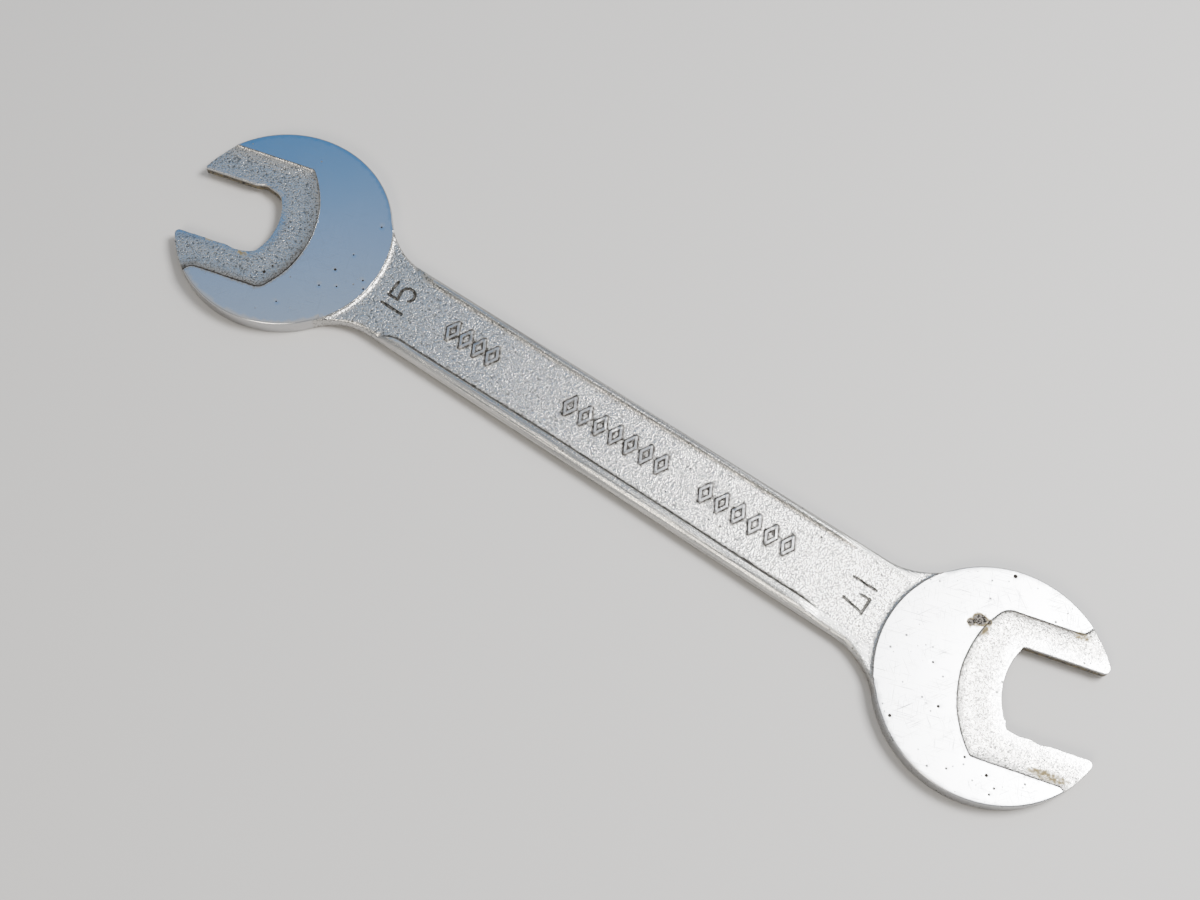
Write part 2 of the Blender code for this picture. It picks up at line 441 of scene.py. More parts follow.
def row_distance(points, start, end):
    """Distance from each point to the nearest of many short straight edges."""
    edge = end - start
    long = np.maximum((edge**2).sum(1), 1e-12)
    nearest = np.empty(len(points))
    for first in range(0, len(points), MEASURED_AT_ONCE):
        these = slice(first, first + MEASURED_AT_ONCE)
        part = points[these, None] - start
        along = np.clip((part * edge).sum(2) / long, 0, 1)[..., None]
        nearest[these] = np.sqrt(((part - along * edge) ** 2).sum(2).min(1))
    return nearest


def inside(points, polygon):
    """Which points lie inside a closed outline."""
    start = polygon
    end = np.roll(polygon, -1, axis=0)
    found = np.empty(len(points), bool)
    for first in range(0, len(points), MEASURED_AT_ONCE):
        these = slice(first, first + MEASURED_AT_ONCE)
        x, y = points[these].T[..., None]
        crosses = (start[:, 1] > y) != (end[:, 1] > y)
        rise = np.where(crosses, end[:, 1] - start[:, 1], 1)
        at = start[:, 0] + (y - start[:, 1]) * (end[:, 0] - start[:, 0]) / rise
        found[these] = (crosses & (x < at)).sum(1) % 2 == 1
    return found


def signed_distance(points, polygon):
    """Distance to a closed outline, positive inside it."""
    far = row_distance(points, polygon, np.roll(polygon, -1, axis=0))
    return np.where(inside(points, polygon), far, -far)


def ripple(xy, wavelength, seed=0):
    """Smooth noise from -1 to 1 over the plan."""
    return np.array([noise.noise((x / wavelength, y / wavelength, seed + 0.5)) for x, y in xy])


# ---- Heads ----


def read_heads(record):
    """Each head's centre, turn and jaw width, from the record's mounts, with its shape."""
    mounts = {m["name"]: Vector(m["pos_m"]).xy / MM for m in record["mounts"]}
    heads = []
    for size, shape in HEAD_SHAPES.items():
        upper = mounts[f"jaw_{size}_upper_flat"]
        lower = mounts[f"jaw_{size}_lower_flat"]
        underside = mounts[f"head_{size}_underside"]
        middle = (upper + lower) / 2
        axis = (middle - underside).normalized()
        across = Vector((-axis.y, axis.x))
        head = SimpleNamespace(**vars(shape), size=size)
        head.centre = np.array(middle - axis * JAW_POINT - across * shape.jaw_offset)
        head.turn = math.atan2(axis.y, axis.x)
        head.jaw = (upper - lower).length
        head.handle_side = -math.copysign(1, head.centre[0])
        heads.append(head)
    return heads


def place(head, points):
    """From a head's own frame to the row frame."""
    cos, sin = polar(head.turn)
    u, v = np.asarray(points).T
    return np.stack([u * cos - v * sin, u * sin + v * cos], 1) + head.centre


def jaw_tip(head, side):
    """From the jaw's flat, round its tip, to the head's circle, for a tip at +v."""
    radius = head.tip_rounds[side]
    flat = head.jaw / 2 + head.jaw_offset * (1 if side else -1)
    centre_v = flat + radius
    centre_u = math.sqrt((head.radius - radius) ** 2 - centre_v**2)
    on_circle = math.atan2(centre_v, centre_u)
    return arc((centre_u, centre_v), radius, -math.pi / 2, on_circle, TIP_STEP)


def jaw_floor(head):
    """The jaw's curved floor, from the worn corner at -v to the one at +v."""
    centre = np.array([head.floor + head.floor_radius, head.floor_offset])
    lower = np.array(head.corners[0][-1]) - centre
    upper = np.array(head.corners[1][0]) - centre
    start = math.atan2(lower[1], lower[0]) % math.tau
    end = math.atan2(upper[1], upper[0])
    floor = arc(centre, head.floor_radius, start, end, JAW_STEP)[1:-1]
    return join(soften(head.corners[0], JAW_STEP), floor, soften(head.corners[1], JAW_STEP))


def roughen(points, depth):
    """A run with small steps and dents, none at its ends."""
    share = np.linspace(0, 1, len(points))
    fade = smooth(np.minimum(share, 1 - share) / RAGGED_FADE)
    return points + sideways(points) * (depth * fade * ripple(points, RAGGED_WAVE))[:, None]


def jaw_path(head):
    """The jaw from the tip at -v, along its flats and floor, to the tip at +v."""
    lower = flipped(jaw_tip(head, 0))
    upper = jaw_tip(head, 1)
    floor = jaw_floor(head)
    return join(
        lower,
        roughen(line(lower[-1], floor[0], JAW_STEP), head.ragged[0]),
        floor,
        roughen(line(floor[-1], upper[0], JAW_STEP), head.ragged[1]),
        upper,
    )


def head_path(head, start, end):
    """A head's outline from one side of its neck round the jaw to the other, in its own frame."""
    jaw = jaw_path(head)
    first = arc((0, 0), head.radius, start, math.atan2(jaw[0][1], jaw[0][0]))
    last = arc((0, 0), head.radius, math.atan2(jaw[-1][1], jaw[-1][0]), end)
    return join(first, jaw, last)


def neck_half_angle(head, side):
    return math.asin((head.handle_halves[side] + head.neck_round) / (head.radius + head.neck_round))


def neck_curve(head, side):
    """From the head's circle, round the neck, to the handle's edge, in the row frame."""
    half = neck_half_angle(head, side)
    centre = (head.radius + head.neck_round) * polar(half)
    curve = arc(centre, head.neck_round, math.pi + half, 1.5 * math.pi)
    return curve * (head.handle_side, 1 if side else -1) + head.centre


def outline():
    """The whole outline, counter-clockwise."""
    runs = []
    for head, other, side in ((HEADS[1], HEADS[0], 1), (HEADS[0], HEADS[1], 0)):
        towards_handle = (0 if head.handle_side > 0 else math.pi) - head.turn
        start = (towards_handle + neck_half_angle(head, 1 - side)) % math.tau - math.tau
        end = (towards_handle - neck_half_angle(head, side)) % math.tau
        neck = neck_curve(head, side)
        other_neck = neck_curve(other, side)[::-1]
        handle = line(neck[-1], other_neck[0])
        runs += [place(head, head_path(head, start, end)), neck, handle, other_neck]
    points = join(*runs)
    return points[:-1] if math.dist(points[0], points[-1]) < 0.05 else points


def band_corner(head, side):
    """From the band's back curve round its corner at +v to its straight side."""
    radius = head.band_rounds[side]
    centre_v = head.band_half - radius
    span = head.radius - radius
    from_back = math.sqrt(span**2 - centre_v**2)
    centre_u = head.band_back + head.radius - from_back
    on_back = math.atan2(centre_v, -from_back)
    return arc((centre_u, centre_v), radius, on_back, math.pi / 2, CORNER_STEP)


def band_side(head, side):
    """One end of the band's edge, at +v: from the back curve's end out past the head's circle."""
    corner = np.array([head.mouth_ends[side], head.band_half])
    out = corner + MOUTH_RUN * polar(MOUTH_TURN)
    back = band_corner(head, side)
    mouth = round_corner(back[-1], corner, out, MOUTH_ROUND)
    return join(back, line(back[-1], mouth[0]), mouth, line(mouth[-1], out))


def band_edge(head):
    """The edge of the sunk band round a jaw, from past the circle at -v to past it at +v."""
    lower = flipped(band_side(head, 0))
    upper = band_side(head, 1)
    centre = np.array([head.band_back + head.radius, 0])
    start = lower[-1] - centre
    end = upper[0] - centre
    first = math.atan2(start[1], start[0]) % math.tau
    last = math.atan2(end[1], end[0]) % math.tau
    edge = join(lower, arc(centre, head.radius, first, last), upper)
    return edge + sideways(edge) * (BAND_WANDER * ripple(edge, BAND_WAVE))[:, None]


def band_polygon(head):
    """The band as a closed outline that runs out past its head, in the row frame."""
    edge = band_edge(head)
    past = head.radius + PAST_HEAD
    corners = [(past, edge[-1][1]), (past, edge[0][1])]
    return place(head, np.concatenate([edge, corners]))


# ---- Numerals and lozenges ----


def straight(start, end):
    """A stroke with no points between its ends."""
    return line(start, end, math.inf)


def numeral_one(height):
    return [straight((0, 0), (0, height))]


def numeral_five(left, height):
    """A bar, a short stem and a wide open bowl."""
    bowl = arc((left + FIVE_BOWL_MIDDLE, FIVE_BOWL), FIVE_BOWL, *FIVE_BOWL_TURN, BOWL_STEP)
    bar = straight((left + FIVE_WIDTH, height), (left, height))
    stem = straight((left, height), (left, FIVE_STEM_FOOT))
    return [bar, stem, join([stem[-1]], bowl)]


def numeral_seven(left, height):
    """A bar with a short hook at its left, and a leaning leg."""
    bar = straight((left, height), (left + SEVEN_WIDTH, height))
    hook = straight((left + 0.1, height), (left + 0.1, height - SEVEN_HOOK))
    leg = straight((left + 3.2, height - 0.2), (left + 2.4, 0.3))
    return [bar, hook, leg]


def stamp(strokes, base, up):
    """Strokes from a numeral's own frame to the row frame, their tops towards +x or -x."""
    return [base + stroke[:, ::-1] * (up, -up) for stroke in strokes]


def numeral_strokes():
    """The two sizes, each with its tops towards its own head."""
    fifteen = numeral_one(ONE_HEIGHTS[0]) + numeral_five(FIGURE_PITCH, FIVE_HEIGHT)
    seventeen = numeral_one(ONE_HEIGHTS[1]) + numeral_seven(FIGURE_PITCH, SEVEN_HEIGHT)
    return stamp(fifteen, FIFTEEN_BASE, -1) + stamp(seventeen, SEVENTEEN_BASE, 1)


def lozenge_centres():
    centres = []
    for start, end, count in LOZENGE_GROUPS:
        pitch = (end - start) / count
        centres += [(start + pitch * (i + 0.5), LOZENGE_Y) for i in range(count)]
    return np.array(centres)


def lozenge(centre, offset=0.0, step=MARK_STEP):
    """A closed lozenge at this distance outside the plain one."""
    across, along = LOZENGE_SIZE
    scale = 1 + offset * math.hypot(across, along) / (across * along)
    tips = np.array([(across, 0), (0, along), (-across, 0), (0, -along), (across, 0)]) * scale
    sides = [line(a, b, step) for a, b in zip(tips[:-1], tips[1:])]
    return join(*sides)[:-1] + centre


def numeral_segments():
    """Where each straight piece of the numerals starts and ends."""
    strokes = numeral_strokes()
    start = np.concatenate([stroke[:-1] for stroke in strokes])
    end = np.concatenate([stroke[1:] for stroke in strokes])
    return start, end


def lozenge_segments():
    """Where each side of the lozenges starts and ends."""
    loops = [lozenge(centre, step=math.inf) for centre in lozenge_centres()]
    return np.concatenate(loops), np.concatenate([np.roll(loop, -1, axis=0) for loop in loops])


def capsule(path, radius):
    """A closed loop at this distance all round a stroke."""
    left = path + radius * sideways(path)
    right = path - radius * sideways(path)
    caps = []
    for point, way in ((path[-1], path[-1] - path[-2]), (path[0], path[0] - path[1])):
        angle = math.atan2(way[1], way[0])
        caps.append(arc(point, radius, angle + math.pi / 2, angle - math.pi / 2, radius / 2))
    return join(left, caps[0], right[::-1], caps[1])


# ---- Heights ----


def smooth(t):
    t = np.clip(t, 0, 1)
    return t * t * (3 - 2 * t)


def cove(t):
    """From 0 at a crisp upper edge to 1 where the round fillet meets the floor."""
    t = np.clip(t, 0, 1)
    return np.sqrt(1 - (1 - t) ** 2)


def handle_edge(x, side):
    """How far the handle's edge lies from its centre line, between its two necks."""
    ends = [neck_curve(head, side)[-1] for head in HEADS]
    return np.interp(x, [end[0] for end in ends], [abs(end[1]) for end in ends])


def rim_foot(x, side):
    """Where a rim rises from the panel, bending out to the handle's edge at the 15 mm end."""
    hook = np.clip((RIMS_BEGIN - x) / HOOK_LENGTHS[side], 0, HOOK_END) ** 2 * HOOK_RISE
    return handle_edge(x, side) - np.interp(x, RIM_STATIONS, RIM_WIDTHS[side]) + hook


def rims_left(x):
    """1 along the rims, falling to 0 where they run out at the 17 mm end."""
    return 1 - smooth((x - RIMS_FADE_FROM) / (RIMS_FADE_TO - RIMS_FADE_FROM))


def rim_share(xy):
    """1 on the handle's rims and 0 on its panel."""
    x, y = xy.T
    rise = [smooth((abs(y) - rim_foot(x, side)) / RIM_SLOPES[side]) for side in (0, 1)]
    return np.where(y < 0, *rise) * rims_left(x)


def beyond(xy, head):
    """Distance outside a head's circle, negative inside it."""
    return np.linalg.norm(xy - head.centre, axis=1) - head.radius


def clear_of_heads(xy, reach):
    """0 on the heads, rising to 1 at this distance from them."""
    return np.min([smooth(beyond(xy, head) / reach) for head in HEADS], axis=0)


def band_depth(xy, head):
    """How far a head's face has sunk into its jaw band, from 0 to 1."""
    inwards = signed_distance(xy, head.band)
    dish = smooth(np.clip(inwards / BAND_DISH, 0, 1) ** DISH_POWER)
    return BAND_STEP * cove(inwards / BAND_FILLET) + (1 - BAND_STEP) * dish


def base_height(xy):
    """Half thickness over the plan, before the outline's edges are rounded."""
    height = PANEL_HALF + (RIM_HALF - PANEL_HALF) * rim_share(xy)
    for head in HEADS:
        head_height = HEAD_HALF + (JAW_HALF - HEAD_HALF) * band_depth(xy, head)
        height += (head_height - height) * (1 - cove(beyond(xy, head) / NECK_FILLET))
    return height


def edge_reach(xy):
    """How far in from the outline its rounded edge reaches."""
    reach = base_height(xy) - EDGE_LAND
    for head in HEADS:
        sunk = smooth(signed_distance(xy, head.band) / JAW_EDGE)
        on_head = HEAD_EDGE + (JAW_EDGE - HEAD_EDGE) * sunk
        reach += (on_head - reach) * (1 - smooth(beyond(xy, head) / NECK_EASE))
    return reach


def numeral_dip(xy):
    """1 in the numerals' strokes and 0 clear of them."""
    far = row_distance(xy, *NUMERALS)
    return 1 - smooth((far - NUMERAL_HALF) / NUMERAL_SLOPE)


def lozenge_rise(xy):
    """1 on the crests of the lozenges' sides and 0 clear of them."""
    far = row_distance(xy, *LOZENGES)
    return 1 - smooth((far - LOZENGE_HALF) / LOZENGE_SLOPE)


def pit_shares(xy, pits):
    """For each pit, 1 in its middle falling to 0 at its rim."""
    for x, y, radius in pits:
        far = np.hypot(xy[:, 0] - x, xy[:, 1] - y)
        yield 1 - smooth(far / radius)


def rust_share(xy):
    """How rusty the upper face is, before the material breaks it up."""
    share = np.zeros(len(xy))
    for x, y, half_length, half_width, turn, strength in RUST:
        cos, sin = polar(math.radians(turn))
        dx, dy = xy.T - np.array([[x], [y]])
        far = np.hypot((dx * cos + dy * sin) / half_length, (dy * cos - dx * sin) / half_width)
        share = np.maximum(share, strength * (1 - smooth((far - RUST_CORE) / RUST_EDGE)))
    return share


def skin_height(xy, side):
    """Half thickness of the upper (1) or lower (-1) skin with all that is stamped, raised or pitted."""
    seen = xy * (1, side)
    height = base_height(xy)
    height += HANDLE_SWELL * clear_of_heads(xy, 1.0) * ripple(xy, HANDLE_WAVE, side)
    height -= NUMERAL_DEPTH * numeral_dip(seen)
    height += LOZENGE_RISE * lozenge_rise(seen)
    for share, pit in zip(pit_shares(xy, SIDE_PITS[side]), SIDE_PITS[side]):
        height -= PIT_DEPTH * pit[2] * share
    if side > 0:
        eaten = np.clip(rust_share(xy) * 2 - 1, 0, 1)
        height -= RUST_PITTING * eaten * (1 + ripple(xy, RUST_PITTING_WAVE))
    return height


# ---- Mesh ----


def edge_rings(points):
    """Rings from the outline in to where its rounding ends, each with its heights."""
    inwards = sideways(points, closed=True)
    reach = edge_reach(points)
    rings = []
    for angle in np.linspace(0, math.pi / 2, EDGE_RINGS):
        ring = points + inwards * (reach * (1 - math.cos(angle)))[:, None]
        rings.append((ring, base_height(ring) - reach * (1 - math.sin(angle))))
    return rings


def band_lines(head):
    edge = band_edge(head)
    outwards = sideways(edge)
    return [place(head, edge - outwards * share * BAND_FILLET) for share in BAND_LINES]


def neck_lines(head):
    """Arcs round a head, from one side of its neck to the other."""
    towards_handle = 0 if head.handle_side > 0 else math.pi
    first, last = (0, 1) if head.handle_side > 0 else (1, 0)
    start = towards_handle - neck_half_angle(head, first)
    end = towards_handle + neck_half_angle(head, last)
    radii = [head.radius + share * NECK_FILLET for share in NECK_LINES]
    return [arc(head.centre, radius, start, end) for radius in radii]


def rim_lines():
    x = np.arange(RIMS_BEGIN - HOOK_LINES_END * max(HOOK_LENGTHS), RIMS_FADE_TO, RIM_STEP)
    found = []
    for side, sign in SIDES:
        for share in RIM_LINES:
            y = rim_foot(x, side) + share * RIM_SLOPES[side]
            found.append(np.stack([x, sign * y], 1))
    return found


def mark_loops():
    """Loops round the numerals' strokes, and inside and outside the lozenges' sides."""
    found = []
    for stroke in numeral_strokes():
        found += [capsule(stroke, NUMERAL_HALF + share * NUMERAL_SLOPE) for share in MARK_LINES]
    for centre in lozenge_centres():
        for share in MARK_LINES:
            offset = LOZENGE_HALF + share * LOZENGE_SLOPE
            found += [lozenge(centre, offset), lozenge(centre, -offset)]
    return found


def pit_loops(pits):
    found = []
    for x, y, radius in pits:
        for share in PIT_LINES:
            found.append(arc((x, y), radius * share, 0, math.tau, radius * PIT_STEP)[:-1])
    return found


def feature_lines(side):
    """Lines that the skin's triangles follow, each with True if it is a closed loop."""
    runs = []
    for head in HEADS:
        runs += band_lines(head) + neck_lines(head)
    runs += rim_lines()
    loops = [loop * (1, side) for loop in mark_loops()] + pit_loops(SIDE_PITS[side])
    return [(run, False) for run in runs] + [(loop, True) for loop in loops]


def grid_points(low, high, step):
    """The corners of equal triangles over a box."""
    rows = []
    for number, y in enumerate(np.arange(low[1], high[1], step * math.sqrt(0.75))):
        x = np.arange(low[0] + (number % 2) * step / 2, high[0], step)
        rows.append(np.stack([x, np.full(len(x), y)], 1))
    return np.concatenate(rows)


def fill_points(ring, taken, side):
    """Points inside the ring, clear of the points already taken, and finer round what is stamped."""
    for step in (FINE_STEP, FILL_STEP):
        grid = grid_points(ring.min(0), ring.max(0), step)
        if step == FINE_STEP:
            seen = grid * (1, side)
            near = np.minimum(row_distance(seen, *NUMERALS), row_distance(seen, *LOZENGES))
            rusty = (side > 0) & (rust_share(grid) > FINE_RUST)
            grid = grid[(near < FINE_REACH) | rusty]
        grid = grid[inside(grid, ring)]
        tree = KDTree(len(taken))
        for index, point in enumerate(taken):
            tree.insert((point[0], point[1], 0), index)
        tree.balance()
        clear = np.array([tree.find((x, y, 0))[2] > step * FILL_CLEARANCE for x, y in grid])
        taken = np.concatenate([taken, grid[clear]])
    return taken


def skin_plan(inner, side):
    """One skin's points in plan, its innermost ring first, and the edges that its triangles keep."""
    points = [inner]
    edges = [(i, (i + 1) % len(inner)) for i in range(len(inner))]
    count = len(inner)
    for feature, closed in feature_lines(side):
        keep = signed_distance(feature, inner) > RING_CLEARANCE
        index = np.where(keep, count + np.cumsum(keep) - 1, -1)
        pairs = list(zip(index[:-1], index[1:]))
        if closed:
            pairs.append((index[-1], index[0]))
        edges += [(int(a), int(b)) for a, b in pairs if a >= 0 and b >= 0]
        points.append(feature[keep])
        count += int(keep.sum())
    return fill_points(inner, np.concatenate(points), side), edges


def make_skin(rings, side):
    """One skin: (points, faces, indices of the outermost ring)."""
    inner = rings[-1][0]
    flat, edges = skin_plan(inner, side)
    flat = [Vector(point) for point in flat]
    made, _, triangles, sources, _, _ = delaunay_2d_cdt(flat, edges, [], 1, MERGE_DISTANCE)
    xy = np.array([tuple(v) for v in made])
    where = {source: index for index, group in enumerate(sources) for source in group}
    border = [where[i] for i in range(len(inner))]
    faces = [tuple(t) for t in triangles]
    total = len(xy)
    parts = [np.column_stack([xy, skin_height(xy, side)])]
    for ring, ring_height in reversed(rings[:-1]):
        outer = list(range(total, total + len(ring)))
        for i in range(len(ring)):
            j = (i + 1) % len(ring)
            faces.append((outer[i], outer[j], border[j], border[i]))
        parts.append(np.column_stack([ring, ring_height]))
        border = outer
        total += len(ring)
    solid = np.concatenate(parts) * (1, 1, side)
    if side < 0:
        faces = [face[::-1] for face in faces]
    return solid, faces, border


def make_wall(plan, top, first):
    """The rows of the wall between its top and bottom rows, with the trimmed flash along the handle."""
    away = clear_of_heads(plan, RIDGE_START)
    rows = []
    indices = []
    for share in WALL_SHARES[1:-1]:
        ridge = PARTING_RIDGE * away * (1 - smooth(abs(share) / RIDGE_HALF))
        row = plan - sideways(plan, closed=True) * ridge[:, None]
        rows.append(np.column_stack([row, top * share]))
        indices.append(list(range(first, first + len(plan))))
        first += len(plan)
    return rows, indices


def make_wrench():
    """Both skins and the wall between them, as one mesh object."""
    plan = outline()
    rings = edge_rings(plan)
    upper, upper_faces, upper_border = make_skin(rings, 1)
    lower, lower_faces, lower_border = make_skin(rings, -1)
    faces = upper_faces + [tuple(i + len(upper) for i in face) for face in lower_faces]
    rows, between = make_wall(plan, rings[0][1], len(upper) + len(lower))
    borders = [upper_border, *between, [i + len(upper) for i in lower_border]]
    for above, below in zip(borders[:-1], borders[1:]):
        for i in range(len(plan)):
            j = (i + 1) % len(plan)
            faces.append((above[i], below[i], below[j], above[j]))
    solid = np.concatenate([upper, lower, *rows])
    mesh = bpy.data.meshes.new("forged_wrench")
    mesh.from_pydata(((solid + (0, 0, HEAD_HALF)) * MM).tolist(), [], faces)
    mesh.shade_smooth()
    mesh.set_sharp_from_angle(angle=SHARP_ANGLE)
    for name, values in surface_finish(solid).items():
        attribute = mesh.attributes.new(name, "FLOAT", "POINT")
        attribute.data.foreach_set("value", values.astype(np.float32))
    thing = bpy.data.objects.new("forged_wrench", mesh)
    bpy.context.collection.objects.link(thing)
    return thing


# ---- Finish ----


def line_dirt_and_shade(far, middle, reach):
    """Dirt and painted shade that follow a line: most of it at one distance, thinning out to both
    sides.
    """
    return 1 - smooth(np.abs(far - middle) / reach)


def head_finish(xy, head, on_wall):
    """A head's ground faces, its jaw worn smooth, the dirt and painted shade in its corners and the
    rust, dirt and painted shade on its jaw's walls.
    """
    inwards = signed_distance(xy, head.band)
    out = beyond(xy, head)
    on_head = out < ON_HEAD
    mouth = place(head, jaw_path(head))
    from_mouth = row_distance(xy, mouth[:-1], mouth[1:])
    wear = JAW_WEAR + JAW_WEAR_CHANGE * ripple(xy, JAW_WEAR_WAVE)
    across = (xy - head.centre) @ (-math.sin(head.turn), math.cos(head.turn))
    edge_strength = np.interp(across, ACROSS_JAW, head.edge_dirt_and_shade)
    dish_shade_strength = np.interp(edge_strength, (0, 1), DISH_SHADE_STRENGTHS)
    dirt_and_shade = (
        # the band's edge: dirt and painted shade; its dish: painted shade
        edge_strength * line_dirt_and_shade(inwards, *BAND_EDGE_DIRT_AND_SHADE) * on_head,
        dish_shade_strength * line_dirt_and_shade(inwards, *BAND_DISH_SHADE) * (inwards > 0) * on_head,
        # the neck fillet's foot: painted shade
        NECK_SHADE_STRENGTH * line_dirt_and_shade(out, *NECK_SHADE),
    )
    return {
        "ground": on_head * (1 - smooth((inwards + GROUND_BORDER) / GROUND_BORDER)),
        "worn": (1 - smooth(from_mouth / head.smooth_reach)) * wear * on_head,
        "dirt_and_shade": np.max(dirt_and_shade, axis=0),
        "grime_and_shade": (1 - smooth(from_mouth / GRIME_AND_SHADE_REACH)) * on_wall,
    }


def rim_finish(xy, side, sign):
    """One rim's worn and drawn crest, and the painted shade along its foot."""
    x, y = xy.T
    from_foot = sign * y - rim_foot(x, side)
    on_handle = clear_of_heads(xy, HANDLE_BORDER)
    strength = RIM_SHADE_STRENGTHS[side] * on_handle * rims_left(x)
    return {
        "worn": RIM_WEAR * smooth((from_foot - RIM_CREST) / CREST_BORDER) * on_handle,
        "drawn": smooth((from_foot - DRAWN_CREST) / CREST_BORDER) * on_handle,
        "dirt_and_shade": strength * line_dirt_and_shade(from_foot, *RIM_FOOT_SHADE),
    }


def mark_finish(xy, upper):
    """The dirt in the pits, dirt and painted shade in the numerals, painted shadow round the lozenges,
    and the lozenges' worn crests.
    """
    x, y = xy.T
    seen = np.column_stack([x, np.where(upper, y, -y)])
    lozenge_shadow = line_dirt_and_shade(row_distance(seen, *LOZENGES), *LOZENGE_FOOT_SHADOW)
    dirt_and_shade = [
        # dirt and painted shade in the numerals' grooves
        np.interp(x, *NUMERAL_DIRT_AND_SHADE) * numeral_dip(seen),
        # painted shadow round the lozenges
        np.interp(x, *LOZENGE_SHADOW_STRENGTHS) * lozenge_shadow,
    ]
    for side, face in ((1, upper), (-1, ~upper)):
        dirt_and_shade += [smooth(share * PIT_FILL) * face for share in pit_shares(xy, SIDE_PITS[side])]
    return {"worn": lozenge_rise(seen), "dirt_and_shade": np.max(dirt_and_shade, axis=0)}


def surface_finish(solid):
    """For each point, how sandblasted, worn, drawn and rusty it is, and how much dirt and painted shade
    it has, from 0 to 1.
    """
    xy = solid[:, :2]
    upper = solid[:, 2] > 0
    skin = np.where(upper, skin_height(xy, 1), skin_height(xy, -1))
    on_wall = smooth((skin - np.abs(solid[:, 2]) - WALL_START) / WALL_BORDER)
    on_face = 1 - on_wall
    layers = [head_finish(xy, head, on_wall) for head in HEADS]
    layers += [rim_finish(xy, side, sign) for side, sign in SIDES]
    layers.append(mark_finish(xy, upper))
    most = {}
    for layer in layers:
        for name, share in layer.items():
            most[name] = np.maximum(most.get(name, 0), share)
    return {
        "blasted": (1 - most["ground"]) * (1 - (1 - WALL_BLASTING) * on_wall),
        "worn": np.clip(most["worn"], 0, 1) * (1 - (1 - WALL_WEAR) * on_wall),
        "drawn": most["drawn"],
        # on the jaw's walls: dirt and painted shade, and rust
        "dirt_and_shade": most["dirt_and_shade"] * on_face + GRIME_DIRT_AND_SHADE * most["grime_and_shade"],
        "rust": rust_share(xy) * upper * on_face + GRIME_RUST * most["grime_and_shade"],
    }


# ---- Nodes ----


def add_node(tree, kind, inputs, **settings):
    """A node whose inputs each take another node's output or a plain value."""
    made = tree.nodes.new(kind)
    for name, value in settings.items():
        setattr(made, name, value)
    for name, value in inputs.items():
        if isinstance(value, bpy.types.NodeSocket):
            tree.links.new(value, made.inputs[name])
        else:
            made.inputs[name].default_value = value
    return made


def maths(tree, operation, first, second=0.0):
    return add_node(tree, "ShaderNodeMath", {0: first, 1: second}, operation=operation).outputs[0]


def product(tree, first, second):
    return maths(tree, "MULTIPLY", first, second)


def span(tree, value, start, end, low=0.0, high=1.0):
    """The value from start to end, remapped smoothly to low to high."""
    inputs = {"Value": value, 1: start, 2: end, 3: low, 4: high}
    return add_node(tree, "ShaderNodeMapRange", inputs, interpolation_type="SMOOTHSTEP").outputs[0]


def blend_numbers(tree, share, first, second):
    return add_node(tree, "ShaderNodeMix", {0: share, 2: first, 3: second}).outputs[0]


def blend_colours(tree, share, first, second):
    inputs = {0: share, 6: first, 7: second}
    return add_node(tree, "ShaderNodeMix", inputs, data_type="RGBA").outputs[2]


def object_place(tree):
    return add_node(tree, "ShaderNodeTexCoord", {}).outputs["Object"]


def painted(tree, name):
    """What surface_finish found under this name."""
    return add_node(tree, "ShaderNodeAttribute", {}, attribute_name=name).outputs["Fac"]


def grain(tree, place_at, size, detail=2.0, stretch=(1, 1, 1), turn=0.0):
    """Noise whose blotches are about this many millimetres across, before they are stretched."""
    inputs = {"Vector": place_at, "Rotation": (0, 0, turn), "Scale": stretch}
    mapped = add_node(tree, "ShaderNodeMapping", inputs, vector_type="TEXTURE").outputs[0]
    inputs = {"Vector": mapped, "Scale": 1 / (size * MM), "Detail": detail}
    return add_node(tree, "ShaderNodeTexNoise", inputs).outputs[0]


def scratches(tree, place_at):
    """1 on fine scratches that cross each other, 0 between them."""
    found = 0.0
    for turn, low in SCRATCHES:
        lines = grain(tree, place_at, 1.0, stretch=SCRATCH_STRETCH, turn=math.radians(turn))
        found = maths(tree, "MAXIMUM", span(tree, lines, low, low + SCRATCH_SOFTNESS), found)
    return found


def dots(tree, place_at, kept):
    """1 in scattered round dots of many sizes, 0 between them, with a share of the dots kept."""
    radius = DOT_RADIUS / DOT_PITCH
    cells = add_node(tree, "ShaderNodeTexVoronoi", {"Vector": place_at, "Scale": 1 / (DOT_PITCH * MM)})
    chance = add_node(tree, "ShaderNodeSeparateColor", {"Color": cells.outputs["Color"]}).outputs[0]
    past_bar = maths(tree, "SUBTRACT", chance, maths(tree, "SUBTRACT", 1.0, kept))
    size = maths(tree, "DIVIDE", product(tree, past_bar, radius), maths(tree, "MAXIMUM", kept, 0.01))
    inwards = maths(tree, "SUBTRACT", size, cells.outputs["Distance"])
    return span(tree, inwards, -0.1 * radius, 0.3 * radius)


def new_material(name):
    material = bpy.data.materials.new(name)
    material.use_nodes = True
    return material, material.node_tree, material.node_tree.nodes["Principled BSDF"]


# ---- Steel ----


def dirt_and_shade_layer(tree, broken, dotted):
    """Dirt and painted shade with a broken edge, and dark dots."""
    dirt_and_shade = maths(tree, "SUBTRACT", painted(tree, "dirt_and_shade"), product(tree, broken, DIRT_AND_SHADE_BREAKING))
    return maths(tree, "MAXIMUM", span(tree, dirt_and_shade, *DIRT_AND_SHADE_SPAN), product(tree, dotted, DOT_DIRT))


def rust_layer(tree, broken, rust):
    """Rust and stain with a broken edge."""
    shown = maths(tree, "ADD", rust, product(tree, broken, RUST_BREAKING))
    return product(tree, span(tree, shown, *RUST_SPAN), span(tree, rust, *STAIN_SPAN))


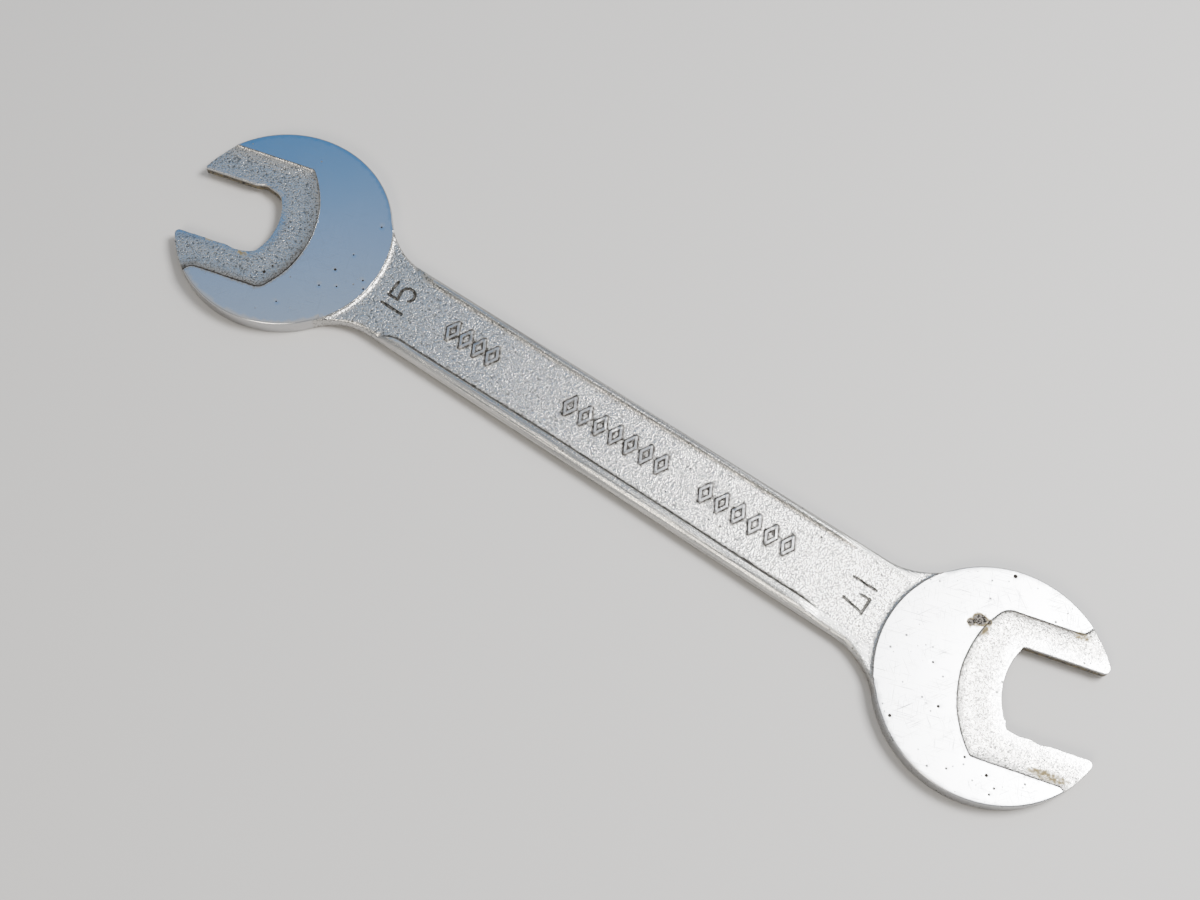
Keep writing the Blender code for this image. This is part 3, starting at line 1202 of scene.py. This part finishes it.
def steel_layers(tree):
    """The noises and shares that the steel's colour, roughness and height are blended by."""
    place_at = object_place(tree)
    x = add_node(tree, "ShaderNodeSeparateXYZ", {"Vector": place_at}).outputs[0]
    use = span(tree, x, *USED_ALONG, LEAST_USED, 1.0)
    patches = grain(tree, place_at, PATCH_SIZE)
    fine = grain(tree, place_at, FINE_GRAIN)
    coarse = grain(tree, place_at, COARSE_GRAIN)
    broken = grain(tree, place_at, BROKEN_GRAIN, BROKEN_DETAIL)
    scratched = product(tree, use, span(tree, patches, *SCRATCHED_PATCHES))
    dotted = dots(tree, place_at, product(tree, use, DOTS_KEPT))
    unworn = span(tree, painted(tree, "worn"), 0, 1, 1, WORN_BLASTING)
    rust = painted(tree, "rust")
    return SimpleNamespace(
        use=use,
        patches=patches,
        fine=fine,
        sand=blend_numbers(tree, COARSE_SHARE, fine, coarse),
        streaks=grain(tree, place_at, 1.0, stretch=STREAK_STRETCH),
        scratched=product(tree, scratches(tree, place_at), scratched),
        dotted=dotted,
        blasted=product(tree, painted(tree, "blasted"), unworn),
        drawn=painted(tree, "drawn"),
        dirty_and_shaded=dirt_and_shade_layer(tree, broken, dotted),
        rust=rust,
        rusty=rust_layer(tree, broken, rust),
    )


def steel_colour(tree, layers):
    ground = blend_colours(tree, layers.patches, *GROUND_COLOURS)
    ground = blend_colours(tree, layers.scratched, ground, SCRATCH_COLOUR)
    sand = blend_colours(tree, span(tree, layers.sand, *SAND_SPAN), *SAND_COLOURS)
    colour = blend_colours(tree, layers.blasted, ground, sand)
    streaks = blend_colours(tree, span(tree, layers.streaks, *STREAK_SPAN), *STREAK_COLOURS)
    colour = blend_colours(tree, product(tree, layers.drawn, DRAWN_SHARE), colour, streaks)
    # darkened by dirt and painted shade
    colour = blend_colours(tree, layers.dirty_and_shaded, colour, DIRT_AND_SHADE_COLOUR)
    eaten = blend_colours(tree, span(tree, layers.fine, *EATEN_GRAIN_SPAN), *EATEN_COLOURS)
    rust = blend_colours(tree, span(tree, layers.rust, *EATEN_SPAN), STAIN_COLOUR, eaten)
    return blend_colours(tree, layers.rusty, colour, rust)


def steel_roughness(tree, layers):
    ground = span(tree, layers.use, 0, 1, *GROUND_ROUGHNESS)
    ground = blend_numbers(tree, layers.scratched, ground, SCRATCH_ROUGHNESS)
    sand = span(tree, layers.sand, *SAND_ROUGHNESS_SPAN, *SAND_ROUGHNESS)
    roughness = blend_numbers(tree, layers.blasted, ground, sand)
    spoiled = maths(tree, "MAXIMUM", layers.dirty_and_shaded, layers.rusty)
    return blend_numbers(tree, spoiled, roughness, SPOILED_ROUGHNESS)


def steel_normal(tree, layers):
    """The sandblasted grain, the scratches and dots in the ground faces, and the rims' streaks."""
    ground = product(tree, maths(tree, "ADD", layers.scratched, layers.dotted), MARK_HEIGHT)
    height = blend_numbers(tree, layers.blasted, ground, layers.sand)
    height = maths(tree, "ADD", height, product(tree, layers.streaks, layers.drawn))
    inputs = {"Height": height, "Strength": 1.0, "Distance": GRAIN_HEIGHT * MM}
    return add_node(tree, "ShaderNodeBump", inputs).outputs[0]


def steel_material():
    """Chromed steel: ground on the heads, sandblasted elsewhere, with dirt and painted shade in its
    corners.
    """
    material, tree, shader = new_material("satin_chrome")
    layers = steel_layers(tree)
    tree.links.new(steel_colour(tree, layers), shader.inputs["Base Color"])
    tree.links.new(steel_roughness(tree, layers), shader.inputs["Roughness"])
    tree.links.new(steel_normal(tree, layers), shader.inputs["Normal"])
    shader.inputs["Metallic"].default_value = 1.0
    return material


# ---- Stage ----


def make_camera():
    azimuth = Matrix.Rotation(math.radians(CAMERA_AZIMUTH), 3, "Z")
    tilt = Matrix.Rotation(math.radians(90 - CAMERA_ELEVATION), 3, "X")
    roll = Matrix.Rotation(math.radians(CAMERA_ROLL), 3, "Z")
    turn = azimuth @ tilt @ roll
    eye = Vector((*CAMERA_AIM, cad_high.z)) + turn @ Vector((0, 0, CAMERA_DISTANCE))
    camera = bpy.data.cameras.new("camera")
    camera.lens = CAMERA_LENS
    camera.sensor_width = SENSOR_WIDTH
    thing = bpy.data.objects.new("camera", camera)
    thing.matrix_world = Matrix.Translation(eye) @ turn.to_4x4()
    bpy.context.collection.objects.link(thing)
    bpy.context.scene.camera = thing


def area_light(name, place_at, aim, size, power, colour):
    lamp = bpy.data.lights.new(name, "AREA")
    lamp.shape = "SQUARE"
    lamp.size = size
    lamp.energy = power
    lamp.color = colour
    thing = bpy.data.objects.new(name, lamp)
    thing.location = place_at
    thing.rotation_euler = (Vector(aim) - Vector(place_at)).to_track_quat("-Z", "Y").to_euler()
    bpy.context.collection.objects.link(thing)


def floor_material():
    """Plain and pale, and paler far off, where the lamps don't reach."""
    material, tree, shader = new_material("pale_floor")
    inputs = {0: object_place(tree)}
    away = add_node(tree, "ShaderNodeVectorMath", inputs, operation="LENGTH").outputs["Value"]
    colour = blend_colours(tree, span(tree, away, *FLOOR_PALES), *FLOOR_COLOURS)
    tree.links.new(colour, shader.inputs["Base Color"])
    shader.inputs["Roughness"].default_value = FLOOR_ROUGHNESS
    return material


def make_floor():
    mesh = bpy.data.meshes.new("floor")
    corners = [(x * FLOOR_REACH, y * FLOOR_REACH, 0) for x, y in ((-1, -1), (1, -1), (1, 1), (-1, 1))]
    mesh.from_pydata(corners, [], [(0, 1, 2, 3)])
    mesh.materials.append(floor_material())
    thing = bpy.data.objects.new("floor", mesh)
    bpy.context.collection.objects.link(thing)


def make_world():
    """A soft pale dome with one cool patch, which the 15 mm head reflects."""
    world = bpy.data.worlds.new("soft_studio")
    world.use_nodes = True
    tree = world.node_tree
    direction = add_node(tree, "ShaderNodeTexCoord", {}).outputs["Generated"]
    inputs = {0: direction, 1: PATCH_TOWARDS}
    towards = add_node(tree, "ShaderNodeVectorMath", inputs, operation="DOT_PRODUCT").outputs["Value"]
    up = add_node(tree, "ShaderNodeSeparateXYZ", {"Vector": direction}).outputs[2]
    cool = product(tree, span(tree, towards, *PATCH_EDGE), span(tree, up, *PATCH_FOOT))
    colour = blend_colours(tree, cool, DOME_COLOUR, PATCH_COLOUR)
    tree.links.new(colour, tree.nodes["Background"].inputs["Color"])
    bpy.context.scene.world = world
    bpy.context.scene.view_settings.look = "AgX - Medium High Contrast"


def underside_pits():
    """Scattered pits on the underside, clear of the outline."""
    random = np.random.default_rng(5)
    places = random.uniform(-1, 1, (UNDERSIDE_PITS, 2)) * UNDERSIDE_REACH
    deep = signed_distance(places, outline()) > UNDERSIDE_CLEARANCE
    return tuple((x, y, random.uniform(*UNDERSIDE_RADII)) for x, y in places[deep])


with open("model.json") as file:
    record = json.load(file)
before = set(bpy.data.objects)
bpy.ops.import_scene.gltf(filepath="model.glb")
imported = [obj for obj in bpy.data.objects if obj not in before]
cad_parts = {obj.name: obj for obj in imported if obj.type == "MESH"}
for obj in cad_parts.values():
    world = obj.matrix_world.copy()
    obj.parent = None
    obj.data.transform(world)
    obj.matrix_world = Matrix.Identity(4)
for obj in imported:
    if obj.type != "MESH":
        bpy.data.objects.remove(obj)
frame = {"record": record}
cad_low, cad_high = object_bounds()
HEAD_HALF = cad_high.z / MM / 2
HEADS = read_heads(frame["record"])
for each in HEADS:
    each.band = band_polygon(each)
NUMERALS = numeral_segments()
LOZENGES = lozenge_segments()
SIDE_PITS = {1: PITS, -1: underside_pits()}

wrench = make_wrench()
wrench.data.materials.append(steel_material())
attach(wrench, "root")
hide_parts("wrench_body")

make_camera()
make_floor()
make_world()
for row in LAMPS:
    area_light(*row)
